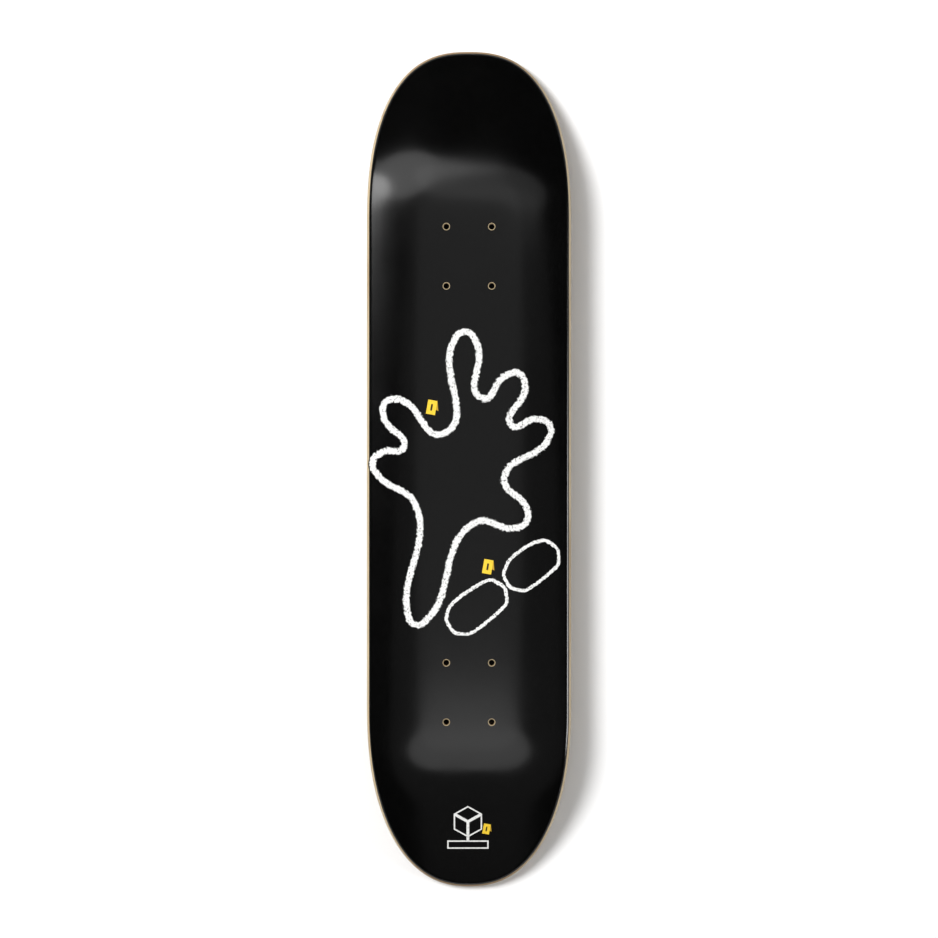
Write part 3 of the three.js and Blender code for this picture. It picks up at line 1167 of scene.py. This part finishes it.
@dataclass
class ChalkLine(Print):
    """A closed free-hand line: a strip of ink led along a curve."""

    knots: Sequence[tuple[float, float]] = ()
    width: float = 6 * MM
    step: float = 1.6 * MM
    across: int = 4
    seam: float = 0.2 * MM  # how far apart the strip's two ends may be when they are merged

    def draw(self) -> bpy.types.Object:
        """Lead a flat strip along the line and close it on itself.

        Returns:
            The strip, flat.
        """
        path = self._path()
        length = path.data.splines[0].calc_length()
        deselect()
        steps = max(12, round(length / self.step))
        bpy.ops.mesh.primitive_grid_add(x_subdivisions=steps, y_subdivisions=self.across, size=1)
        strip = bpy.context.object
        bpy.ops.object.mode_set(mode="EDIT")
        bpy.ops.mesh.select_all(action="SELECT")
        bpy.ops.transform.resize(value=(length, self.width, 1), center_override=(0, 0, 0))
        bpy.ops.transform.translate(value=(length / 2, 0, 0))
        bpy.ops.object.mode_set(mode="OBJECT")
        apply(strip, "CURVE", object=path, deform_axis="POS_X")
        edit(strip)
        bpy.ops.mesh.select_all(action="SELECT")
        bpy.ops.mesh.remove_doubles(threshold=self.seam)
        bpy.ops.object.mode_set(mode="OBJECT")
        data = path.data
        bpy.data.objects.remove(path)
        bpy.data.curves.remove(data)
        return strip

    def _path(self) -> bpy.types.Object:
        """Draw the line itself through its knots.

        Returns:
            A closed flat curve.
        """
        deselect()
        bpy.ops.curve.primitive_bezier_circle_add(radius=10 * MM)
        path = bpy.context.object
        path.data.dimensions = "2D"
        path.data.resolution_u = 24
        spline = path.data.splines[0]
        spline.bezier_points.add(len(self.knots) - len(spline.bezier_points))
        for point, (x, y) in zip(spline.bezier_points, self.knots):
            point.co = (x, y, 0)
            point.handle_left_type = point.handle_right_type = "AUTO"
        bpy.ops.object.mode_set(mode="EDIT")
        bpy.ops.curve.select_all(action="SELECT")
        bpy.ops.curve.handle_type_set(type="AUTOMATIC")
        bpy.ops.object.mode_set(mode="OBJECT")
        return path


@dataclass(frozen=True)
class Lobe:
    """One lobe of the splash: its direction, its tip's distance and that of the dip after it."""

    angle: float
    tip: float
    dip: float


@dataclass
class Splash(ChalkLine):
    """A splash of seven uneven lobes, drawn in one thick chalk line."""

    width: float = 7.8 * MM
    middle: tuple[float, float] = (-8 * MM, -2 * MM)
    shoulder: float = 12 * MM
    share: float = 0.92
    lobes: Sequence[Lobe] = (
        Lobe(30, 94 * MM, 66 * MM),
        Lobe(60, 108 * MM, 74 * MM),
        Lobe(88, 132 * MM, 42 * MM),
        Lobe(135, 96 * MM, 58 * MM),
        Lobe(171, 81 * MM, 48 * MM),
        Lobe(253, 141 * MM, 44 * MM),
        Lobe(325, 73 * MM, 40 * MM),
    )

    def __post_init__(self) -> None:
        """Work out the line's knots from the lobes."""
        turns = []
        for index, lobe in enumerate(self.lobes):
            wrap = 360 if index + 1 == len(self.lobes) else 0
            after = self.lobes[(index + 1) % len(self.lobes)].angle + wrap
            side = math.degrees(self.shoulder / lobe.tip)
            turns += [
                (lobe.angle - side, lobe.tip * self.share),
                (lobe.angle, lobe.tip),
                (lobe.angle + side, lobe.tip * self.share),
                ((lobe.angle + after) / 2, lobe.dip),
            ]
        self.knots = [
            (
                self.middle[0] + distance * math.cos(math.radians(turn)),
                self.middle[1] + distance * math.sin(math.radians(turn)),
            )
            for turn, distance in turns
        ]


@dataclass
class Capsule(ChalkLine):
    """A long rounded outline in a thinner chalk line, with a slight free-hand waver."""

    width: float = 4.2 * MM
    middle: tuple[float, float] = (0.0, 0.0)
    straight: float = 30 * MM
    radius: float = 15.5 * MM
    tilt: float = 37.0
    points: int = 20
    waver: float = 0.45 * MM
    waves: int = 7
    shift: float = 900.0  # radians a metre of straight, so that no two capsules waver alike

    def __post_init__(self) -> None:
        """Work out the line's knots round the capsule."""
        turn = math.radians(self.tilt)
        self.knots = []
        for index in range(self.points):
            angle = math.tau * (index + 0.5) / self.points
            reach = self.radius + self.waver * math.sin(self.waves * angle + self.straight * self.shift)
            x = reach * math.cos(angle) + math.copysign(self.straight / 2, math.cos(angle))
            y = reach * math.sin(angle)
            self.knots.append(
                (
                    self.middle[0] + x * math.cos(turn) - y * math.sin(turn),
                    self.middle[1] + x * math.sin(turn) + y * math.cos(turn),
                )
            )


@dataclass
class Tag(Print):
    """A small folded card seen from its front, with a narrow flap behind its right side."""

    middle: tuple[float, float] = (0.0, 0.0)
    tilt: float = -10.0
    size: float = 1.0
    width: float = 8.4 * MM
    height: float = 13 * MM
    flap: float = 2.4 * MM
    corner: float = -0.35
    foot: float = -0.25

    def draw(self) -> bpy.types.Object:
        """Shape the card and pull its flap out of its right edge.

        Returns:
            The flat card.
        """
        deselect()
        bpy.ops.mesh.primitive_plane_add(size=1)
        card = bpy.context.object
        bpy.ops.object.mode_set(mode="EDIT")
        bpy.ops.transform.resize(value=(self.width, self.height, 1), center_override=(0, 0, 0))
        half, top = self.width / 2, self.height / 2
        foot = self.foot * top
        cut(card, Vector((0, foot, 0)), Vector((0, 1, 0)))

        def in_right_side(edge: bmesh.types.BMEdge) -> bool:
            """Say whether an edge is the card's right side above its foot."""
            return all(v.co.x > half - TINY and v.co.y > foot - TINY for v in edge.verts)

        select(card, Part.EDGES, in_right_side)
        bpy.ops.mesh.extrude_edges_move(TRANSFORM_OT_translate={"value": (self.flap, 0, 0)})
        select(card, Part.POINTS, lambda v: v.co.x > half + TINY)
        bpy.ops.mesh.merge(type="CENTER")
        select(card, Part.POINTS, lambda v: v.co.x > half + TINY)
        shape = bmesh.from_edit_mesh(card.data)
        corner = next(v for v in shape.verts if v.select)
        bpy.ops.transform.translate(value=(0, self.corner * top - corner.co.y, 0))
        bpy.ops.mesh.select_all(action="SELECT")
        bpy.ops.transform.resize(value=(self.size, self.size, 1), center_override=(0, 0, 0))
        bpy.ops.object.mode_set(mode="OBJECT")
        card.rotation_euler = (0, 0, math.radians(self.tilt))
        card.location = (*self.middle, 0)
        only(card)
        bpy.ops.object.transform_apply(location=True, rotation=True, scale=True)
        return card


@dataclass
class Emblem(Print):
    """A hexagon with three rhombic windows on a hollow bar, all in one thin line."""

    middle: tuple[float, float] = (-1 * MM, -318 * MM)
    radius: float = 15 * MM
    line: float = 1.3 * MM
    stem: float = 3 * MM
    bar: tuple[float, float] = (38 * MM, 8 * MM)

    def draw(self) -> bpy.types.Object:
        """Draw the windowed hexagon, its post and its bar.

        Returns:
            The flat emblem.
        """
        hexagon = self._hexagon()
        bar_top = -self.radius - self.stem
        bar = self._frame(self.bar, (0, bar_top - self.bar[1] / 2))
        post_size = (2 * self.line, self.stem + self.line)
        post = self._frame(post_size, (0, bar_top + post_size[1] / 2 - self.line / 2), hollow=False)
        only(hexagon)
        for other in (bar, post):
            other.select_set(True)
        bpy.ops.object.join()
        hexagon.location = (*self.middle, 0)
        bpy.ops.object.transform_apply(location=True, rotation=True, scale=True)
        return hexagon

    def _hexagon(self) -> bpy.types.Object:
        """Draw the hexagon: six spokes, every other one taken out, and each rhomb inset to its line.

        Returns:
            The flat hexagon.
        """
        deselect()
        bpy.ops.mesh.primitive_circle_add(vertices=6, radius=self.radius, fill_type="NGON")
        hexagon = bpy.context.object
        bpy.ops.object.mode_set(mode="EDIT")
        bpy.ops.mesh.select_all(action="SELECT")
        bpy.ops.mesh.poke()
        spokes = (90.0, 210.0, 330.0)

        def every_other_spoke(edge: bmesh.types.BMEdge) -> bool:
            """Say whether an edge is one of the three spokes that go.

            Args:
                edge: an edge of the poked hexagon.

            Returns:
                Whether it is.
            """
            inner, outer = sorted(edge.verts, key=lambda v: v.co.length)
            turn = math.degrees(math.atan2(outer.co.y, outer.co.x)) % 360
            return inner.co.length < 1e-6 and any(abs(turn - spoke) < 20 for spoke in spokes)

        select(hexagon, Part.EDGES, every_other_spoke)
        bpy.ops.mesh.dissolve_edges(use_verts=False)
        select(hexagon, Part.FACES, lambda f: True)
        bpy.ops.mesh.inset(thickness=self.line, use_individual=True)
        bpy.ops.mesh.delete(type="FACE")
        bpy.ops.object.mode_set(mode="OBJECT")
        return hexagon

    def _frame(self, size: Pair, place: Pair, hollow: bool = True) -> bpy.types.Object:
        """Draw a rectangle, hollow or filled.

        Args:
            size: its width and height.
            place: its middle.
            hollow: whether only its outline is drawn.

        Returns:
            The flat rectangle.
        """
        deselect()
        bpy.ops.mesh.primitive_plane_add(size=1)
        shape = bpy.context.object
        bpy.ops.object.mode_set(mode="EDIT")
        bpy.ops.mesh.select_all(action="SELECT")
        bpy.ops.transform.resize(value=(*size, 1), center_override=(0, 0, 0))
        bpy.ops.transform.translate(value=(*place, 0))
        if hollow:
            bpy.ops.mesh.inset(thickness=self.line)
            bpy.ops.mesh.delete(type="FACE")
        bpy.ops.object.mode_set(mode="OBJECT")
        return shape


# ---- The deck ------------------------------------------------------------------------------------------


class PlyRole(Enum):
    """What each veneer is, from the riding face, as its node's name says."""

    RIDING_FACE = "ply_1_riding_face"
    LONG_LOWER = "ply_2_long_grain"
    CROSS_LOWER = "ply_3_crossband"
    CORE = "ply_4_core"
    CROSS_UPPER = "ply_5_crossband"
    LONG_UPPER = "ply_6_long_grain"
    UNDERSIDE = "ply_7_underside_face"

    @property
    def grain(self) -> Grain:
        """Which way its fibres run."""
        return Grain.CROSS if self in (PlyRole.CROSS_LOWER, PlyRole.CROSS_UPPER) else Grain.LONG


@dataclass
class Deck:
    """The whole deck: seven veneers, six glue lines, the film and its prints."""

    form: Form
    hole: float = 2.75 * MM
    hole_sink: float = 0.12 * MM
    film_hole: float = 3.35 * MM
    pieces: list[Layer | Film | Print] = field(default_factory=list)

    def build(self) -> Deck:
        """Make every layer and print flat, press it and dress it.

        Returns:
            This deck.
        """
        press = Press(self.form)
        blank = Blank(self.form)
        bolt_drill = Drill(self.hole, sink=self.hole_sink).build(self.form.thickness)
        film_drill = Drill(self.film_hole).build(self.form.thickness)
        for layer in self.layers():
            self.pieces.append(layer.build(blank, bolt_drill, press))
        film = Film(material=TransferFilm().material())
        self.pieces.append(film.build(blank, film_drill, press))
        for drawn in self.prints():
            self.pieces.append(drawn.build(self.form, press))
        for piece in self.pieces:
            piece.dress()
        for scrap in (blank.solid, bolt_drill.tool, film_drill.tool):
            bpy.data.objects.remove(scrap)
        press.clear()
        return self

    def layers(self) -> Iterable[Layer]:
        """List the veneers and the glue between them, from the riding face.

        Returns:
            The layers, not yet built.
        """
        long_grain = MapleVeneer("maple_long_grain_clear", Grain.LONG).material()
        crossband = MapleVeneer("maple_crossband_clear", Grain.CROSS, "#b3966a", "#9f8052").material()
        glue = GlueLine().material()
        step = self.form.ply + self.form.glue
        for index, role in enumerate(PlyRole):
            low = index * step
            cross = role.grain is Grain.CROSS
            slot = "maple_crossband" if cross else "maple_long_grain"
            yield Layer(role.value, slot, low, low + self.form.ply, crossband if cross else long_grain)
            if index + 1 < self.form.plies:
                top = low + self.form.ply
                yield Layer(f"glue_line_{index + 1}", "glue_line", top, top + self.form.glue, glue)

    def prints(self) -> Iterable[Print]:
        """List the prints on the film.

        Returns:
            The prints, not yet drawn.
        """
        thick = ChalkInk("chalk_ink_thick").material()
        thin = ChalkInk("chalk_ink_thin", edge=0.55).material()
        line = PrintedInk("white_ink_printed", full="#e9e9e6", thin="#b9b9b6").material()
        tags = (("upper", -34, 61, 1.0), ("middle", 17, -84, 1.0), ("lower", 16, -325, 0.75))
        yield Splash("print_splash_outline", thick)
        yield Capsule("print_capsule_lower", thin, middle=(7 * MM, -121 * MM))
        yield Capsule("print_capsule_upper", thin, middle=(57 * MM, -83 * MM), straight=24 * MM)
        for name, x, y, size in tags:
            middle = Vector((x * MM, y * MM, 0))
            ink = TagInk(f"yellow_ink_{name}", middle, Tag.tilt, size).material()
            yield Tag(f"print_tag_{name}", ink, "yellow_ink", middle=middle.to_tuple()[:2], size=size)
        yield Emblem("print_emblem", line)


# ---- The studio ----------------------------------------------------------------------------------------


@dataclass(frozen=True)
class SoftBox:
    """One soft light: a round or oval panel that faces a point."""

    name: str
    place: tuple[float, float, float]
    aim: tuple[float, float, float]
    size: tuple[float, float]
    watts: float
    shine: bool = True  # whether it is seen in reflections

    def hang(self) -> None:
        """Add the light to the scene."""
        light = bpy.data.lights.new(self.name, "AREA")
        light.shape = "ELLIPSE"
        light.size, light.size_y = self.size
        light.energy = self.watts
        lamp = bpy.data.objects.new(self.name, light)
        lamp.location = self.place
        towards = Vector(self.aim) - Vector(self.place)
        lamp.rotation_euler = towards.to_track_quat("-Z", "Y").to_euler()
        lamp.visible_camera = False
        lamp.visible_glossy = self.shine
        bpy.context.scene.collection.objects.link(lamp)


@dataclass
class Studio:
    """A white floor and wall, a key light from the upper left and a weak fill, and the camera overhead."""

    subject_top: float
    floor_level: float
    holes: Sequence[Vector]
    # radius of the black dots of painted shade under the truck holes
    painted_shade_dot_radius: float = 5 * MM
    wall_radius: float = 7.0
    wall_height: float = 2.2
    camera_height: float = 3.0
    lens: float = 126.6
    lights: Sequence[SoftBox] = (
        SoftBox("key", (-2.2, 1.2, 3.7), (0, 0, 0), (2.0, 2.0), 186, shine=False),
        SoftBox("key_shine", (-2.5, 1.35, 3.58), (0, 0, 0), (1.5, 1.5), 34),
        SoftBox("fill", (3.6, -0.6, 1.9), (0, 0, 0), (1.6, 1.2), 60),
        SoftBox("overhead_middle", (0, 0.04, 1.1), (0, 0, 0), (0.5, 1.2), 0.34),
        SoftBox("overhead_wide", (0.1, -0.6, 1.1), (0.1, -0.6, 0), (1.3, 2.3), 0.85),
        SoftBox("overhead_nose_left", (-0.38, 0.78, 1.1), (-0.1, 0.4, 0), (0.85, 0.66), 2.6),
        SoftBox("overhead_nose_right", (0.12, 0.6, 1.1), (0, 0.4, 0), (0.85, 0.46), 0.5),
        SoftBox("overhead_tail", (0, -0.55, 1.1), (0, -0.3, 0), (0.66, 0.56), 0.95),
    )

    def build(self) -> None:
        """Put up the floor, wall, black dots of painted shade, lights, world and camera."""
        self._floor()
        # painted shade: matt black dots on the floor under the truck holes stand in for the deep shade
        # beneath the deck
        black = StudioPaint("studio_dot_black", "#0c0c0c", "#080808").material()
        for hole in self.holes:
            self._dot(hole, black)
        for light in self.lights:
            light.hang()
        world = bpy.data.worlds.new("studio_air")
        world.use_nodes = True
        world.node_tree.nodes["Background"].inputs["Color"].default_value = linear("#ffffff")
        world.node_tree.nodes["Background"].inputs["Strength"].default_value = 0.004
        bpy.context.scene.world = world
        bpy.context.scene.view_settings.view_transform = "Standard"
        bpy.context.scene.view_settings.look = "None"
        self._camera()

    def _floor(self) -> None:
        """Make the floor, and a wall all round it."""
        deselect()
        level = (0, 0, self.floor_level)
        bpy.ops.mesh.primitive_circle_add(
            vertices=96, radius=self.wall_radius, fill_type="NGON", location=level
        )
        floor = bpy.context.object
        floor.name = "studio_floor"
        put_on(floor, StudioPaint("studio_floor_paint").material())
        deselect()
        bpy.ops.mesh.primitive_cylinder_add(
            vertices=96,
            radius=self.wall_radius,
            depth=self.wall_height,
            end_fill_type="NOTHING",
            location=(0, 0, self.wall_height / 2),
        )
        wall = bpy.context.object
        wall.name = "studio_wall"
        bpy.ops.object.transform_apply(location=True, rotation=True, scale=True)
        put_on(wall, StudioPaint("studio_wall_paint", glow=0.3).material())
        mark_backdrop(floor, wall)

    def _dot(self, hole: Vector, paint: bpy.types.Material) -> None:
        """Lay a small matt black dot of painted shade where the camera looks through a hole, so that the
        hole reads dark.

        Args:
            hole: the hole's middle.
            paint: the dot's paint.
        """
        height = self.subject_top + self.camera_height
        spread = height / (height - hole.z)
        deselect()
        place = (hole.x * spread, hole.y * spread, self.floor_level + 1 * MM)
        bpy.ops.mesh.primitive_circle_add(
            vertices=24, radius=self.painted_shade_dot_radius, fill_type="NGON", location=place
        )
        dot = bpy.context.object
        dot.name = "studio_dot"
        put_on(dot, paint)
        dot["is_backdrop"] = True

    def _camera(self) -> None:
        """Hang the camera straight over the deck, its nose at the top of the view."""
        data = bpy.data.cameras.new("camera")
        data.lens = self.lens
        data.clip_end = 50
        camera = bpy.data.objects.new("camera", data)
        camera.location = (0, 0, self.subject_top + self.camera_height)
        bpy.context.scene.collection.objects.link(camera)
        bpy.context.scene.camera = camera


def write_sizes() -> None:
    """Put the CAD box and the visual model's box side by side as plain lists."""
    boxes = {"cad": CAD_BOX, "visual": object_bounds()}
    plain = {name: [list(corner) for corner in box] for name, box in boxes.items()}


def main() -> None:
    """Build the deck and the studio, and report each piece."""
    mounts = {mount["name"]: Vector(mount["pos_m"]) for mount in frame["record"]["mounts"]}
    middle = mounts["riding_face"]
    deck = Deck(Form(middle=middle)).build()
    LOG.info("%d pieces", len(deck.pieces))
    # Matt wall paint, rolled on the studio's floor and wall, and in black on the dots of painted shade; its
    # tone drifts very slightly.
    holes = [middle + place for place in Drill(radius=0).places()]
    Studio(subject_top=CAD_BOX[1].z, floor_level=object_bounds()[0].z, holes=holes).build()
    write_sizes()


if __name__ == "__main__":
    main()
